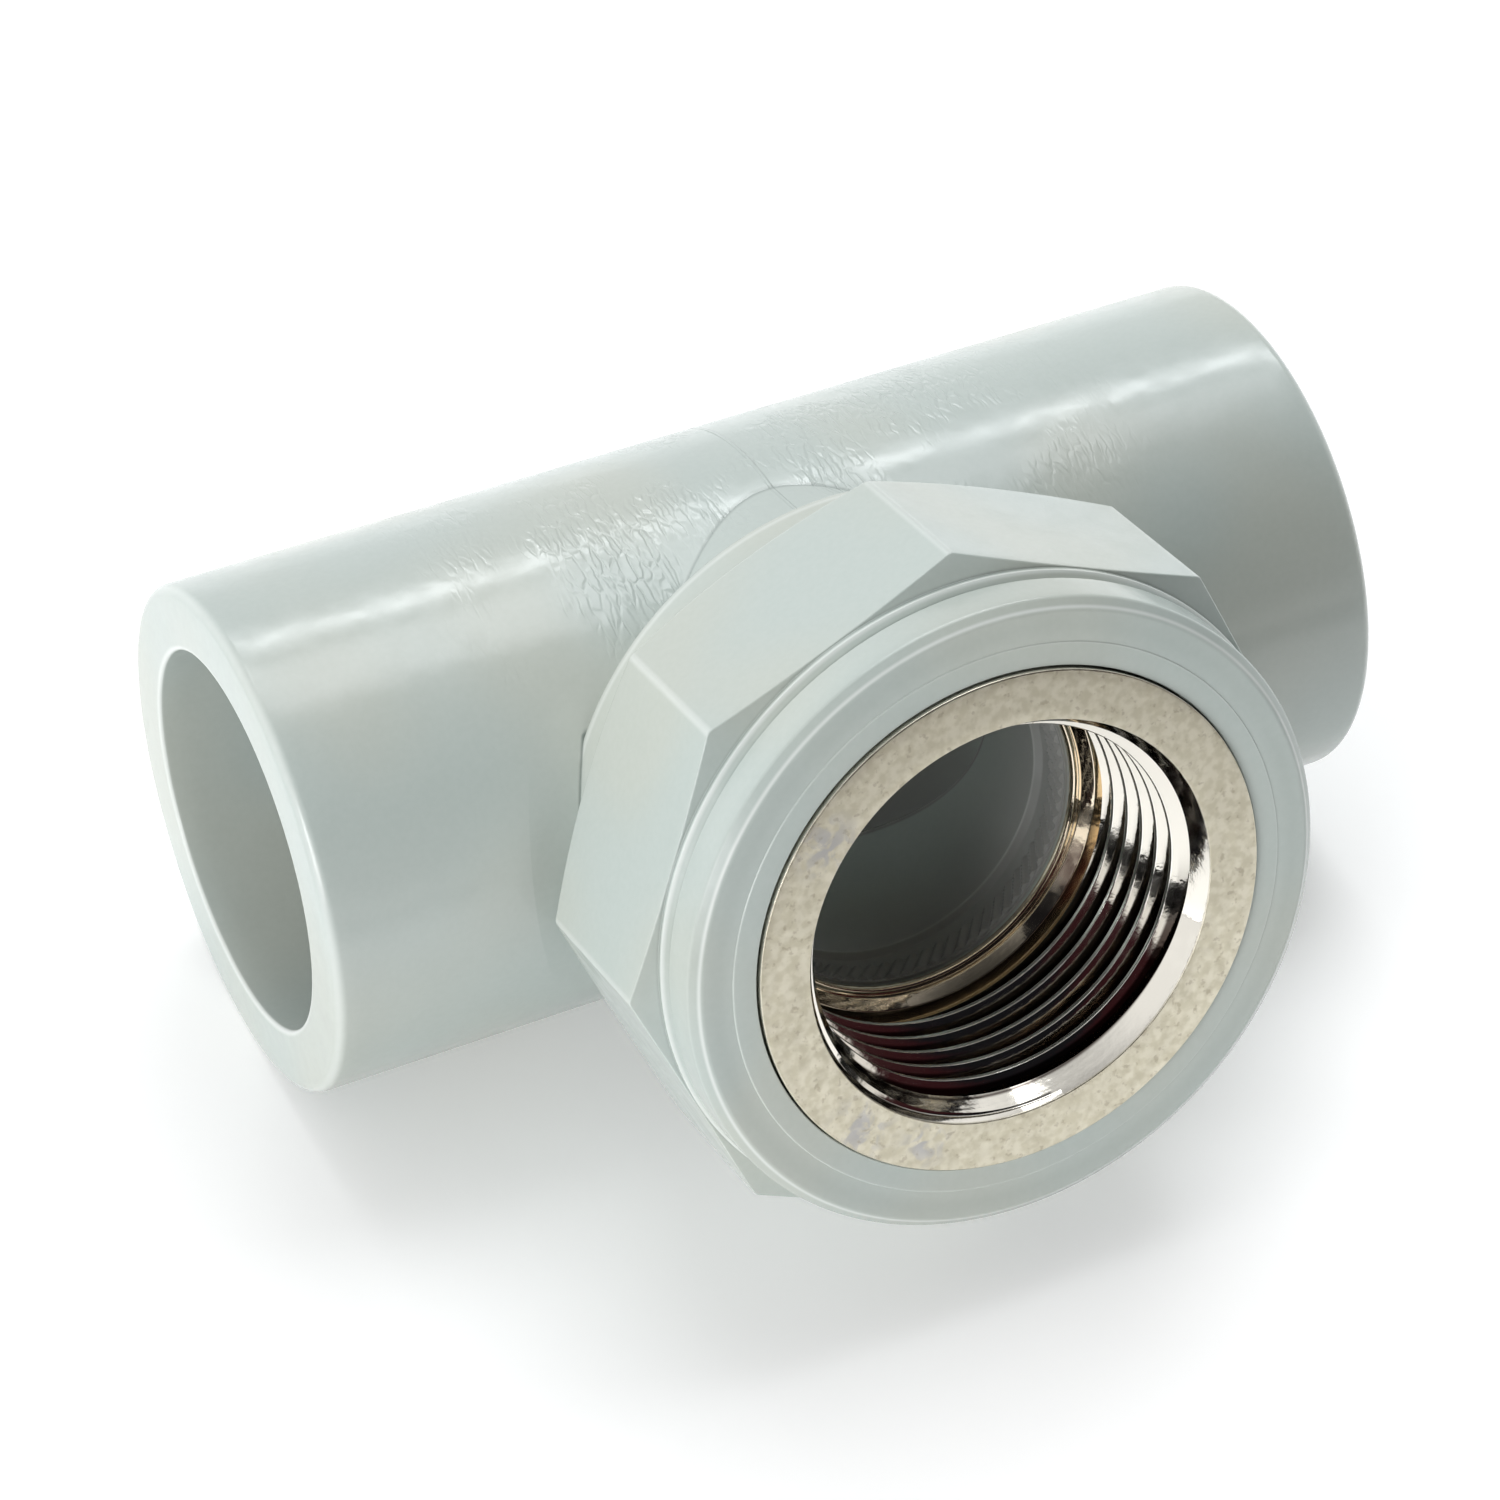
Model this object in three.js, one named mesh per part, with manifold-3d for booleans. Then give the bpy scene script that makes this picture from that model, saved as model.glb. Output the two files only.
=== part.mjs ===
// Equal tee fitting with a threaded metal branch: a plain moulded run with a pipe socket at each end,
// an octagonal wrench collar on the branch, and a metal bush with a 3/4 inch parallel pipe thread.
// Units are millimetres. The fitting is built in its own axes, run along X and branch towards -Y,
// and is then turned to lie on a table: +Z up, table at Z = 0.
import * as THREE from 'three';
import { mergeVertices } from 'three/addons/utils/BufferGeometryUtils.js';
import Module from 'manifold-3d';

const wasm = await Module();
wasm.setup();

// ---- driving dimensions -------------------------------------------------------------------------

const SEGMENTS = 64; // facets round every turned surface
const CLEARANCE = 0.3; // gap that keeps touching pieces apart
const OVERRUN = 1; // how far a cutter runs past the face that it opens

// Straight run. Stations along it are measured from the branch axis.
const RUN_RADIUS = 16.5;
const RUN_HALF_LENGTH = 36.1;
const RUN_EDGE = 0.7; // rounding of the outer end edges, cut here as a chamfer
const SOCKET_MOUTH_RADIUS = 12.32;
const SOCKET_ROOT_RADIUS = 12.1; // the sockets taper slightly inwards
const SOCKET_DEPTH = 18;
const SOCKET_LEAD = 0.28; // small lead-in round the mouth
const WATERWAY_RADIUS = 11.6;

// Branch moulding. Stations along it are measured from the run axis.
const NECK_RADIUS = 15.8;
const FLANGE_RADIUS = 19.55;
const FLANGE_REAR = 14.1;
const ACROSS_FLATS = 42.4;
const WRENCH_REAR_CORNER = 19.7;
const WRENCH_REAR = 18.7; // where the rear chamfer reaches the flats
const WRENCH_FRONT_CORNER = 30.45;
const WRENCH_FRONT = 30.8;
const BEAD_FRONT = 31.2;
const GROOVE_STATION = 31.6;
const GROOVE_RADIUS = 20.7;
const COLLAR_RADIUS = 20.95;
const COLLAR_REAR = 31.95;
const COLLAR_EDGE = 0.6;
const COLLAR_FACE = 34.95;
const BRANCH_BORE_RADIUS = 10.6;
const COUNTERBORE_RADIUS = 11.1; // short wider bore just behind the metal bush
const COUNTERBORE_FLOOR = 18;
const COUNTERBORE_SLOPE = 0.5;
const HIDDEN_CORE_INSET = 0.5; // how far the round core stays under the flats of the octagon

// Metal bush. Rp 3/4 thread: major 26.441, minor 24.117, 14 threads to the inch.
const THREAD_MAJOR = 26.441 / 2;
const THREAD_MINOR = 24.117 / 2;
const THREAD_PITCH = 25.4 / 14;
const THREAD_HALF_ANGLE = THREE.MathUtils.degToRad(27.5);
const THREAD_ROOT_WIDTH = 0.3; // flat that stands for the rounded root
const THREAD_STEPS_PER_TURN = 40;
const INSERT_FACE = 35.25;
const INSERT_REAR = 21.3;
const INSERT_MOUTH_RADIUS = 13.6;
const LEAD_CONE_LENGTH = 1.5;
const LEAD_CONE_FALL = 0.3; // how much the lead-in cone narrows before the thread starts
const INSERT_EDGE = 0.25;
const INSERT_FACE_RADIUS = 16.62;
const HEAD_REAR = 33.4; // back of the plain head behind the face
const SHANK_RADIUS = 15.2;
const KNURL_RADIUS = 15.8;
const KNURL_TEETH = 48;
const FRONT_KNURL = [29.4, 32.6];
const REAR_KNURL = [22.3, 25.7];
const RELIEF = [22.7, 24.4]; // undercut where the thread runs out
const RELIEF_RADIUS = 13.45;
const RELIEF_SLOPE = 0.5;
const INSERT_THROAT_RADIUS = 11.75;
const INSERT_LIP = 0.5; // height of the lip at the rear of the throat
const INSERT_LIP_LENGTH = 0.7;
const SPIGOT_CHAMFER = 0.8; // outer chamfer at the rear of the bush
const THREAD_START = INSERT_FACE - 0.9;
const THREAD_END = RELIEF[0] + 1.1;
const THREAD_OVERLAP = 0.15; // how far the thread cutter reaches inside the minor bore

// Seal ring in its groove round the bush.
const SEAL_GROOVE = [26.2, 28.9];
const SEAL_GROOVE_RADIUS = 14.35;
const SEAL_SECTION_RADIUS = 0.85;
const SEAL_CENTRE_RADIUS = SEAL_GROOVE_RADIUS + CLEARANCE + SEAL_SECTION_RADIUS;

const WRENCH_CORNER_RADIUS = ACROSS_FLATS / 2 / Math.cos(Math.PI / 8);
const POCKET_RADIUS = SEAL_CENTRE_RADIUS + SEAL_SECTION_RADIUS + CLEARANCE;

// ---- helpers ------------------------------------------------------------------------------------

// A closed three.js geometry as a solid that can be joined and cut.
function solidOf(geometry) {
  const bare = geometry.clone();
  bare.deleteAttribute('normal');
  bare.deleteAttribute('uv');
  const merged = mergeVertices(bare);
  return new wasm.Manifold(new wasm.Mesh({
    numProp: 3,
    vertProperties: new Float32Array(merged.attributes.position.array),
    triVerts: new Uint32Array(merged.index.array),
  }));
}

function geometryOf(solid) {
  const mesh = solid.getMesh();
  const geometry = new THREE.BufferGeometry();
  geometry.setAttribute('position', new THREE.BufferAttribute(mesh.vertProperties, 3));
  geometry.setIndex(new THREE.BufferAttribute(mesh.triVerts, 1));
  geometry.computeVertexNormals();
  return geometry;
}

// A solid turned round the Y axis from [radius, station] pairs that start and end on the axis,
// with stations rising.
function turned(profile) {
  const points = profile.map(([radius, station]) => new THREE.Vector2(radius, station));
  return new THREE.LatheGeometry(points, SEGMENTS);
}

// The branch points towards -Y, so what is turned along +Y is swung half round about Z.
function alongBranch(geometry) {
  return solidOf(geometry.rotateZ(Math.PI));
}

function alongRun(geometry) {
  return solidOf(geometry.rotateZ(-Math.PI / 2));
}

// ---- moulded body -------------------------------------------------------------------------------

function runSolid() {
  const end = RUN_HALF_LENGTH;
  return alongRun(turned([
    [0, -end],
    [RUN_RADIUS - RUN_EDGE, -end],
    [RUN_RADIUS, -end + RUN_EDGE],
    [RUN_RADIUS, end - RUN_EDGE],
    [RUN_RADIUS - RUN_EDGE, end],
    [0, end],
  ]));
}

// Both sockets and the waterway between them, running past the end faces.
function runBore() {
  const end = RUN_HALF_LENGTH;
  const stop = RUN_HALF_LENGTH - SOCKET_DEPTH;
  const mouth = SOCKET_MOUTH_RADIUS + SOCKET_LEAD;
  const half = [
    [WATERWAY_RADIUS, stop],
    [SOCKET_ROOT_RADIUS, stop],
    [SOCKET_MOUTH_RADIUS, end - SOCKET_LEAD],
    [mouth, end],
    [mouth, end + OVERRUN],
    [0, end + OVERRUN],
  ];
  const mirrored = half.map(([radius, station]) => [radius, -station]).reverse();
  return alongRun(turned([...mirrored, ...half]));
}

// Octagonal prism with a corner at the top, its corners turned off by a cone at each end.
function wrenchSolid() {
  const length = WRENCH_FRONT - WRENCH_REAR;
  const prism = new THREE.CylinderGeometry(WRENCH_CORNER_RADIUS, WRENCH_CORNER_RADIUS, length, 8);
  prism.translate(0, WRENCH_REAR + length / 2, 0);
  const flat = ACROSS_FLATS / 2;
  const envelope = turned([
    [0, WRENCH_REAR],
    [flat, WRENCH_REAR],
    [WRENCH_CORNER_RADIUS, WRENCH_REAR_CORNER],
    [WRENCH_CORNER_RADIUS, WRENCH_FRONT_CORNER],
    [flat, WRENCH_FRONT],
    [0, WRENCH_FRONT],
  ]);
  return alongBranch(prism).intersect(alongBranch(envelope));
}

// Neck, flange, bead, groove and collar: everything round on the outside of the branch.
function branchRounds() {
  const bead = ACROSS_FLATS / 2;
  const core = bead - HIDDEN_CORE_INSET;
  return alongBranch(turned([
    [0, 0],
    [NECK_RADIUS, 0],
    [NECK_RADIUS, FLANGE_REAR],
    [FLANGE_RADIUS, FLANGE_REAR],
    [FLANGE_RADIUS, WRENCH_REAR_CORNER],
    [core, WRENCH_REAR_CORNER + HIDDEN_CORE_INSET],
    [core, WRENCH_FRONT - HIDDEN_CORE_INSET],
    [bead, WRENCH_FRONT],
    [bead, BEAD_FRONT],
    [GROOVE_RADIUS, GROOVE_STATION],
    [COLLAR_RADIUS, COLLAR_REAR],
    [COLLAR_RADIUS, COLLAR_FACE - COLLAR_EDGE],
    [COLLAR_RADIUS - COLLAR_EDGE, COLLAR_FACE],
    [0, COLLAR_FACE],
  ]));
}

// Branch bore, counterbore and the pocket that holds the metal bush, running past the collar face.
function branchBore() {
  const headRadius = INSERT_FACE_RADIUS + CLEARANCE;
  const headFloor = HEAD_REAR - CLEARANCE;
  return alongBranch(turned([
    [0, 0],
    [BRANCH_BORE_RADIUS, 0],
    [BRANCH_BORE_RADIUS, COUNTERBORE_FLOOR],
    [COUNTERBORE_RADIUS, COUNTERBORE_FLOOR + COUNTERBORE_SLOPE],
    [COUNTERBORE_RADIUS, INSERT_REAR - CLEARANCE],
    [POCKET_RADIUS, INSERT_REAR - CLEARANCE],
    [POCKET_RADIUS, headFloor],
    [headRadius, headFloor],
    [headRadius, COLLAR_FACE + OVERRUN],
    [0, COLLAR_FACE + OVERRUN],
  ]));
}

function bodyGeometry() {
  const outside = runSolid().add(branchRounds()).add(wrenchSolid());
  return geometryOf(outside.subtract(runBore()).subtract(branchBore()));
}

// ---- metal bush ---------------------------------------------------------------------------------

// Plain turned outside: rear spigot, shank with the seal groove, and the head round the mouth.
function insertBlank() {
  return alongBranch(turned([
    [0, INSERT_REAR],
    [SHANK_RADIUS - SPIGOT_CHAMFER, INSERT_REAR],
    [SHANK_RADIUS, INSERT_REAR + SPIGOT_CHAMFER],
    [SHANK_RADIUS, SEAL_GROOVE[0]],
    [SEAL_GROOVE_RADIUS, SEAL_GROOVE[0]],
    [SEAL_GROOVE_RADIUS, SEAL_GROOVE[1]],
    [SHANK_RADIUS, SEAL_GROOVE[1]],
    [SHANK_RADIUS, HEAD_REAR],
    [INSERT_FACE_RADIUS, HEAD_REAR],
    [INSERT_FACE_RADIUS, INSERT_FACE - INSERT_EDGE],
    [INSERT_FACE_RADIUS - INSERT_EDGE, INSERT_FACE],
    [0, INSERT_FACE],
  ]));
}

// A band of straight teeth that keys the bush into the moulding.
function knurlBand([rear, front]) {
  const outline = new THREE.Shape();
  for (let i = 0; i < 2 * KNURL_TEETH; i++) {
    const radius = i % 2 === 0 ? KNURL_RADIUS : SHANK_RADIUS;
    const angle = Math.PI * i / KNURL_TEETH;
    const x = radius * Math.cos(angle);
    const y = radius * Math.sin(angle);
    if (i === 0) outline.moveTo(x, y);
    else outline.lineTo(x, y);
  }
  outline.closePath();
  const band = new THREE.ExtrudeGeometry(outline, { depth: front - rear, bevelEnabled: false });
  band.rotateX(-Math.PI / 2);
  return alongBranch(band.translate(0, rear, 0));
}

// Bore of the bush before the thread is cut: throat, thread relief, minor bore and lead-in cone.
function insertBore() {
  const lip = INSERT_THROAT_RADIUS - INSERT_LIP;
  const coneRadius = INSERT_MOUTH_RADIUS - LEAD_CONE_FALL;
  const coneFloor = INSERT_FACE - LEAD_CONE_LENGTH;
  return alongBranch(turned([
    [0, INSERT_REAR - OVERRUN],
    [lip, INSERT_REAR - OVERRUN],
    [lip, INSERT_REAR + INSERT_LIP_LENGTH],
    [INSERT_THROAT_RADIUS, INSERT_REAR + INSERT_LIP_LENGTH + INSERT_LIP / 2],
    [INSERT_THROAT_RADIUS, RELIEF[0]],
    [RELIEF_RADIUS, RELIEF[0] + RELIEF_SLOPE],
    [RELIEF_RADIUS, RELIEF[1]],
    [THREAD_MINOR, RELIEF[1] + RELIEF_SLOPE],
    [THREAD_MINOR, coneFloor - (coneRadius - THREAD_MINOR) / 2],
    [coneRadius, coneFloor],
    [INSERT_MOUTH_RADIUS, INSERT_FACE],
    [INSERT_MOUTH_RADIUS, INSERT_FACE + OVERRUN],
    [0, INSERT_FACE + OVERRUN],
  ]));
}

// The thread groove: a straight trapezoid bar wrapped round the Y axis as a right-hand helix. It
// starts in the relief and leaves through the lead-in cone, so both of its ends are in the open.
function threadCutter() {
  const inner = THREAD_MINOR - THREAD_OVERLAP;
  const widen = 2 * Math.tan(THREAD_HALF_ANGLE);
  const innerWidth = THREAD_ROOT_WIDTH + (THREAD_MAJOR - inner) * widen;
  const section = new THREE.Shape([
    new THREE.Vector2(inner, -innerWidth / 2),
    new THREE.Vector2(THREAD_MAJOR, -THREAD_ROOT_WIDTH / 2),
    new THREE.Vector2(THREAD_MAJOR, THREAD_ROOT_WIDTH / 2),
    new THREE.Vector2(inner, innerWidth / 2),
  ]);
  const turns = (THREAD_START - THREAD_END) / THREAD_PITCH;
  const steps = Math.round(turns * THREAD_STEPS_PER_TURN);
  const bar = new THREE.ExtrudeGeometry(section, { depth: turns, steps, bevelEnabled: false });
  const position = bar.attributes.position;
  for (let i = 0; i < position.count; i++) {
    const radius = position.getX(i);
    const turn = position.getZ(i);
    const angle = -2 * Math.PI * turn;
    const station = THREAD_START + position.getY(i) - THREAD_PITCH * turn;
    position.setXYZ(i, radius * Math.sin(angle), station, radius * Math.cos(angle));
  }
  return alongBranch(bar);
}

function insertGeometry() {
  const blank = insertBlank().add(knurlBand(FRONT_KNURL)).add(knurlBand(REAR_KNURL));
  return geometryOf(blank.subtract(insertBore()).subtract(threadCutter()));
}

// ---- seal ring ----------------------------------------------------------------------------------

function sealGeometry() {
  const ring = new THREE.TorusGeometry(SEAL_CENTRE_RADIUS, SEAL_SECTION_RADIUS, 8, SEGMENTS / 2);
  ring.rotateX(Math.PI / 2);
  ring.translate(0, -(SEAL_GROOVE[0] + SEAL_GROOVE[1]) / 2, 0);
  return geometryOf(solidOf(ring));
}

// ---- assembly -----------------------------------------------------------------------------------

function piece(name, geometry, color, roughness, metalness) {
  const material = new THREE.MeshStandardMaterial({ color, roughness, metalness });
  const mesh = new THREE.Mesh(geometry, material);
  mesh.name = name;
  return mesh;
}

const fitting = new THREE.Group();
fitting.add(piece('tee_body', bodyGeometry(), 0xbec8c4, 0.4, 0));
fitting.add(piece('threaded_insert', insertGeometry(), 0xc8bea6, 0.25, 1));
fitting.add(piece('seal_ring', sealGeometry(), 0x1c1c1e, 0.7, 0));

// The fitting lies on its run and on the bottom rear corner of the octagon, so its mouth looks up.
const cornerReach = Math.hypot(WRENCH_REAR_CORNER, WRENCH_CORNER_RADIUS);
const cornerFall = Math.atan2(WRENCH_CORNER_RADIUS, WRENCH_REAR_CORNER);
fitting.rotation.x = -(cornerFall - Math.asin(RUN_RADIUS / cornerReach));

// The origin is the middle of the footprint box, on the table.
const part = new THREE.Group();
part.add(fitting);
part.updateMatrixWorld(true);
const box = new THREE.Box3().setFromObject(part, true);
fitting.position.set(0, -(box.min.y + box.max.y) / 2, -box.min.z);

export default part;
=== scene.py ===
"""Equal tee fitting with a threaded metal branch: a moulded plastic body with a pipe socket at each end of
its run and an octagonal collar on its branch, a nickel-plated bush with an internal pipe thread, and the
seal ring behind it. Each piece is made in the fitting's own axes, in millimetres, with the run along X and
the branch towards -Y, and is then laid on the table where the CAD frame has it."""

import math

import bpy
import numpy as np
from mathutils import Matrix, Vector


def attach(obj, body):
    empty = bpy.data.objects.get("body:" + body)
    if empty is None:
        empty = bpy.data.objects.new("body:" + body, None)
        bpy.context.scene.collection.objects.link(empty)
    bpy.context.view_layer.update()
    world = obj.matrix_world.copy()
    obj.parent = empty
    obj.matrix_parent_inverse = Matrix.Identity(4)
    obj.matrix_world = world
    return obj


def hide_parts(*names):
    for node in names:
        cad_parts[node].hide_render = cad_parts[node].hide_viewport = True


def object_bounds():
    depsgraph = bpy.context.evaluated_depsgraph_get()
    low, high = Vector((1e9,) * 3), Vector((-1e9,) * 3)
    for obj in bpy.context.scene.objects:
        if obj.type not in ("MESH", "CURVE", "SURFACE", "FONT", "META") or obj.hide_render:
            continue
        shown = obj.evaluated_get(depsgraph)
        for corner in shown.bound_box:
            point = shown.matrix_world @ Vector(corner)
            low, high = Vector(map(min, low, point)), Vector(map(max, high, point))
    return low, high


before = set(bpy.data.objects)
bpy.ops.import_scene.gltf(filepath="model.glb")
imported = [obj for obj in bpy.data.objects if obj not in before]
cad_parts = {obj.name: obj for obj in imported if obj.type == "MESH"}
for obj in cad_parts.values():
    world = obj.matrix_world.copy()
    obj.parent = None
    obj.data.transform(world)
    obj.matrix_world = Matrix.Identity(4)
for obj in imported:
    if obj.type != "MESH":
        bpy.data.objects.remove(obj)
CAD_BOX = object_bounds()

MM = 0.001

# ---- driving dimensions, in millimetres ----------------------------------------------------------

# Straight run. Stations along it are measured from the branch axis.
RUN_RADIUS = 16.5
RUN_HALF_LENGTH = 36.1
RUN_EDGE = 0.7  # rounding of the outer end edges
SOCKET_MOUTH_RADIUS = 12.32
SOCKET_ROOT_RADIUS = 12.1  # the sockets taper slightly inwards
SOCKET_DEPTH = 18
SOCKET_LIP = 0.28  # rounding of the mouth
WATERWAY_RADIUS = 11.6

# Branch moulding. Stations along it are measured from the run axis.
NECK_RADIUS = 15.8
NECK_START = 4  # inside the run, where the neck is hidden
FLANGE_RADIUS = 19.55
FLANGE_REAR = 14.1
SECTORS = 8  # sides of the octagonal collar
ACROSS_FLATS = 42.4
WRENCH_EDGE = 0.4  # rounding of the octagon's corners
WRENCH_REAR_CORNER = 19.7
WRENCH_REAR = 18.7  # where the rear chamfer reaches the flats
WRENCH_FRONT_CORNER = 30.45
WRENCH_FRONT = 30.8
BEAD_FRONT = 31.2
GROOVE_STATION = 31.6
GROOVE_RADIUS = 20.55
COLLAR_RADIUS = 20.95
COLLAR_REAR = 31.95
COLLAR_FACE = 34.95
COLLAR_STEP_RADIUS = 18.2  # inside this the collar's face stands a little higher
COLLAR_STEP = 0.06
BRANCH_BORE_RADIUS = 10.6
COUNTERBORE_RADIUS = 11.1
COUNTERBORE_FLOOR = 18
HATCH = (19.4, 20.9)  # band of fine slanting teeth inside the counterbore
HATCH_TEETH = 72
HATCH_HEIGHT = 0.3
HATCH_SLANT = 0.9  # teeth that it turns by for each millimetre along the branch

# Metal bush with an Rp 3/4 thread: 14 turns to the inch, with flanks 55 degrees apart.
THREAD_MAJOR = 26.441 / 2
THREAD_MINOR = 24.117 / 2
THREAD_PITCH = 25.4 / 14
THREAD_HALF_ANGLE = math.radians(27.5)
THREAD_PHASE = 0.5  # share of a turn by which the whole thread is turned
WHITWORTH_HEIGHT = 0.960491  # height of the sharp form that the 55 degree thread is cut from, over its pitch
WHITWORTH_ROUNDING = 0.137329  # rounding of its roots, over its pitch
INSERT_FACE = 35.25
INSERT_REAR = 21.3
INSERT_FACE_RADIUS = 16.62
INSERT_MOUTH_RADIUS = 13.42
LEAD_SLOPE = 0.6  # how fast the lead-in cone widens towards the mouth
HEAD_REAR = 33.4  # back of the plain head behind the face
SHANK_RADIUS = 15.2
KNURL_RADIUS = 15.8
KNURL_TEETH = 48
FRONT_KNURL = (29.4, 32.6)
REAR_KNURL = (22.3, 25.7)
RELIEF = (22.9, 23.4)  # undercut where the thread runs out
RELIEF_RADIUS = 13.3
THROAT_RADIUS = 11.7
REAR_LIP_RADIUS = 11.25  # low lip behind the throat
REAR_LIP_LENGTH = 0.55

# Seal ring in its groove round the bush.
SEAL_GROOVE = (26.2, 28.9)
SEAL_GROOVE_RADIUS = 14.35
SEAL_SECTION_RADIUS = 0.85
SEAL_CENTRE_RADIUS = 15.5

# Rings of painted highlight and painted shade on the body: (station, radius, width) and how strongly.
PAINTED_HIGHLIGHT_RINGS = [
    ((BEAD_FRONT + 0.05, 21.1, 0.28), 0.6),
    ((COLLAR_FACE - 0.2, 20.35, 0.2), 0.7),
    ((COLLAR_FACE, COLLAR_STEP_RADIUS, 0.12), 0.2),
    ((FLANGE_REAR + 0.6, FLANGE_RADIUS, 0.3), 0.35),
    ((COUNTERBORE_FLOOR, BRANCH_BORE_RADIUS, 0.14), 0.22),
]
# Painted highlights round the ends of the run.
RUN_PAINTED_HIGHLIGHT_RINGS = [
    ((RUN_HALF_LENGTH - 0.05, SOCKET_MOUTH_RADIUS + 0.1, 0.35), 0.7),
    ((RUN_HALF_LENGTH - 0.2, RUN_RADIUS - 0.2, 0.5), 0.3),
]
# Painted shade in the groove and at the chamfer's foot, along the collar's rim and face, and along the
# flange's rear edge.
PAINTED_SHADE_RINGS = [
    ((COLLAR_FACE - 0.3, COLLAR_RADIUS - 0.2, 1.3), 0.1),
    ((COLLAR_FACE, 19.3, 1.1), 0.12),
    ((GROOVE_STATION, GROOVE_RADIUS, 0.3), 0.4),
    ((WRENCH_FRONT + 0.1, 21.15, 0.2), 0.5),
    ((FLANGE_REAR + 0.08, FLANGE_RADIUS - 0.12, 0.27), 0.9),
]

# Marks of use, as points in the fitting's axes. A stain also has a radius.
SCUFF = (-20.2, -32.3, 1.4)
SCUFF_RADIUS = 0.6
STAINS = [
    ((-11.1, -INSERT_FACE, -10.6), 3.2),
    ((-7.0, -INSERT_FACE, -13.2), 2.4),
    ((-11.6, -INSERT_FACE, 9.4), 3.0),
]

CLEARANCE = 0.3  # gap between hidden faces of the bush or its seal and the pocket
HEAD_GAP = 0.1  # gap round the head of the bush
OVERRUN = 1.0  # how far a cutter or a joined solid runs past the face that it meets
POCKET_RADIUS = SEAL_CENTRE_RADIUS + SEAL_SECTION_RADIUS + CLEARANCE
WRENCH_CORNER_RADIUS = ACROSS_FLATS / 2 / math.cos(math.pi / SECTORS)

# How finely each solid is built: points round its axis, and the longest step along its profile.
RUN_COLUMNS = 224
RUN_BORE_COLUMNS = 160
SEAL_COLUMNS = 160
COLUMNS_PER_TOOTH = 6
THREAD_STEPS_PER_TURN = 120
ARC_STEPS = 7
OUTSIDE_STEP = 0.8
RUN_BORE_STEP = 1.5
BRANCH_BORE_STEP = 2.5
THREAD_STEP = 0.3
SEAL_STEP = 1.0

# The fitting lies on its run and on the bottom rear corner of the octagon, so its mouth looks up.
LYING_ANGLE = math.atan2(WRENCH_CORNER_RADIUS, WRENCH_REAR_CORNER) - math.asin(
    RUN_RADIUS / math.hypot(WRENCH_REAR_CORNER, WRENCH_CORNER_RADIUS))
RUN_AXIS = Vector((0, CAD_BOX[1].y - RUN_RADIUS * MM, CAD_BOX[0].z + RUN_RADIUS * MM))
LYING = Matrix.Translation(RUN_AXIS) @ Matrix.Rotation(-LYING_ANGLE, 4, "X") @ Matrix.Scale(MM, 4)


# ---- profiles ------------------------------------------------------------------------------------

def arc(before, corner, after, radius):
    """Points of an arc of that radius that rounds a corner. Each point is an array, one row per angle."""
    u = before - corner
    v = after - corner
    u /= np.linalg.norm(u, axis=1, keepdims=True)
    v /= np.linalg.norm(v, axis=1, keepdims=True)
    half = np.arccos(np.clip((u * v).sum(axis=1, keepdims=True), -1, 1)) / 2
    bisector = (u + v) / np.linalg.norm(u + v, axis=1, keepdims=True)
    centre = corner + bisector * radius / np.sin(half)
    start = corner + u * radius / np.tan(half) - centre
    end = corner + v * radius / np.tan(half) - centre
    sweep = math.pi - 2 * half
    return [centre + (start * np.sin((1 - t) * sweep) + end * np.sin(t * sweep)) / np.sin(sweep)
            for t in np.linspace(0, 1, ARC_STEPS + 1)]


def profile(corners, angles, step, closed=False):
    """Rows of (station, radius) for each angle, along a profile of (station, radius, rounding) corners.
    A station or a radius may differ from angle to angle. Straight stretches get a row every step."""
    points = [np.stack(np.broadcast_arrays(station, radius, angles)[:2], axis=1).astype(float)
              for station, radius, _ in corners]
    stretches = []
    for i, (_, _, rounding) in enumerate(corners):
        if rounding:
            stretches.append(arc(points[i - 1], points[i], points[(i + 1) % len(points)], rounding))
        else:
            stretches.append([points[i]])
    rows = []
    for i, stretch in enumerate(stretches):
        rows += stretch
        if i + 1 < len(stretches) or closed:
            start, end = stretch[-1], stretches[(i + 1) % len(stretches)][0]
            count = math.ceil(np.linalg.norm(end - start, axis=1).max() / step)
            rows += [start + (end - start) * k / count for k in range(1, count)]
    return np.array(rows)


def along_branch(rows, angles):
    """Turns profile rows round the branch axis. Angle 0 is towards +X and a quarter turn is up."""
    station, radius = rows[..., 0], rows[..., 1]
    return np.stack([radius * np.cos(angles), -station, radius * np.sin(angles)], axis=2)


def along_run(rows, angles):
    """Turns profile rows round the axis of the run, with stations rising towards +X."""
    station, radius = rows[..., 0], rows[..., 1]
    return np.stack([station, radius * np.cos(angles), radius * np.sin(angles)], axis=2)


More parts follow.
